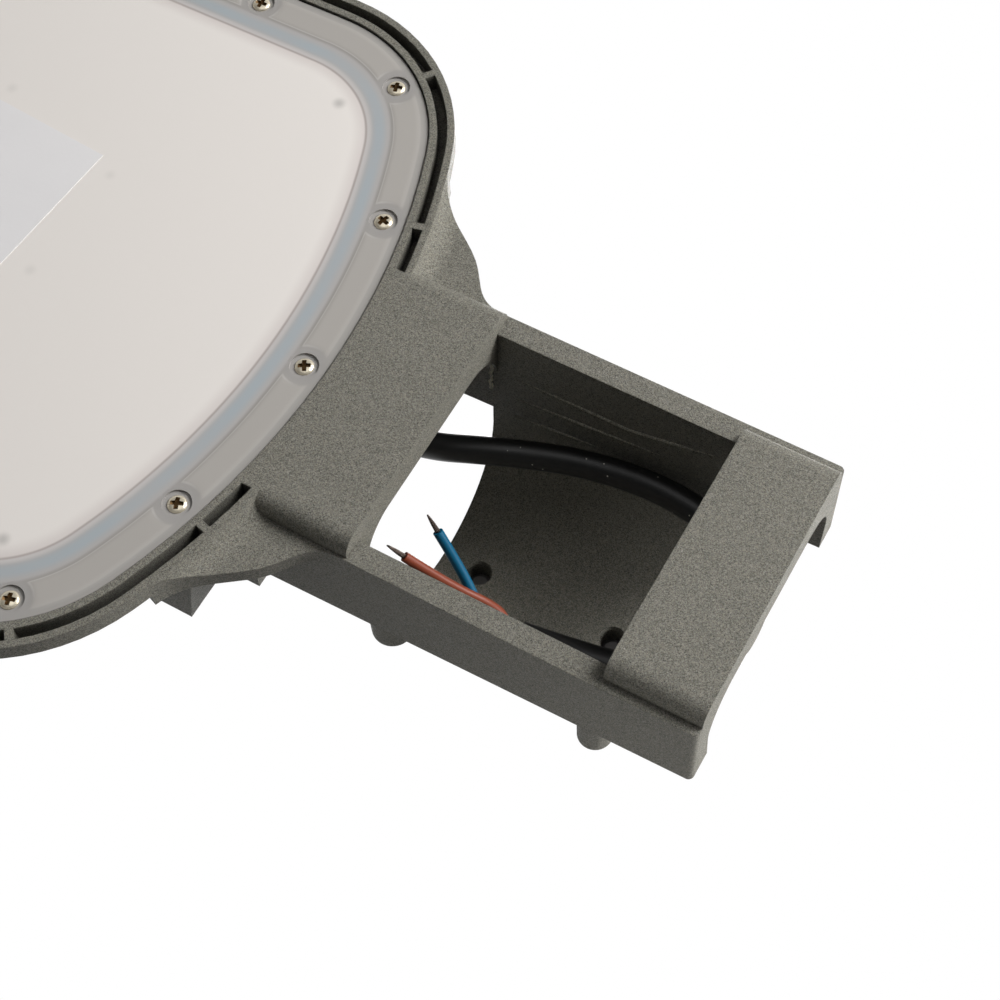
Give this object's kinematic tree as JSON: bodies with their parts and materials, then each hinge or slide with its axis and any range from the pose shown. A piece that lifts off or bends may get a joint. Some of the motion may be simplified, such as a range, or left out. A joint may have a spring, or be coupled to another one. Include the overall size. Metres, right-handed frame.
{
  "type": "street lamp head",
  "caption": "Flat street lamp head with an opal light cover, a finned back and an open socket neck for a pole end.",
  "frame": {"origin": "axis of the pole socket at its mouth", "axes": "+X from the mouth along the pole's axis into the head, +Y across the head, +Z towards the sky; light shines to -Z"},
  "size_m": [0.4821, 0.2148, 0.0914],
  "materials": {
    "body": "die cast, with a fine textured grey powder coat",
    "opal": "opal light cover with a frosted edge",
    "seal": "soft grey rubber",
    "small_screws": "pale plated screws",
    "board": "white board lacquer",
    "chips": "yellow phosphor",
    "steel": "plain steel",
    "white_plastic": "white moulded plastic",
    "thermal": "soft heat pad",
    "driver": "plain case",
    "driver_lid": "black potted lid",
    "gland": "black moulded plastic",
    "jacket": "black cable jacket",
    "brown": "brown insulation",
    "blue": "blue insulation",
    "copper": "bare copper strands",
    "label": "blank white sticker"
  },
  "bodies": {
    "root": {"housing": "body", "light_cover": "opal", "gasket": "seal", "cover_screws": "small_screws", "thermal_pad": "thermal", "led_board": "board", "led_chips": "chips", "board_screws": "steel", "board_terminal": "white_plastic", "driver_case": "driver", "driver_lid": "driver_lid", "driver_screws": "steel", "terminal_block": "white_plastic", "gland_body": "gland", "gland_cap": "gland", "gland_locknut": "gland", "gland_seal": "seal", "gland_sleeve": "seal", "clamp_bolts": "steel", "supply_cable": "jacket", "brown_core": "brown", "blue_core": "blue", "brown_strands": "copper", "blue_strands": "copper", "data_label": "label"}
  },
  "joints": []
}
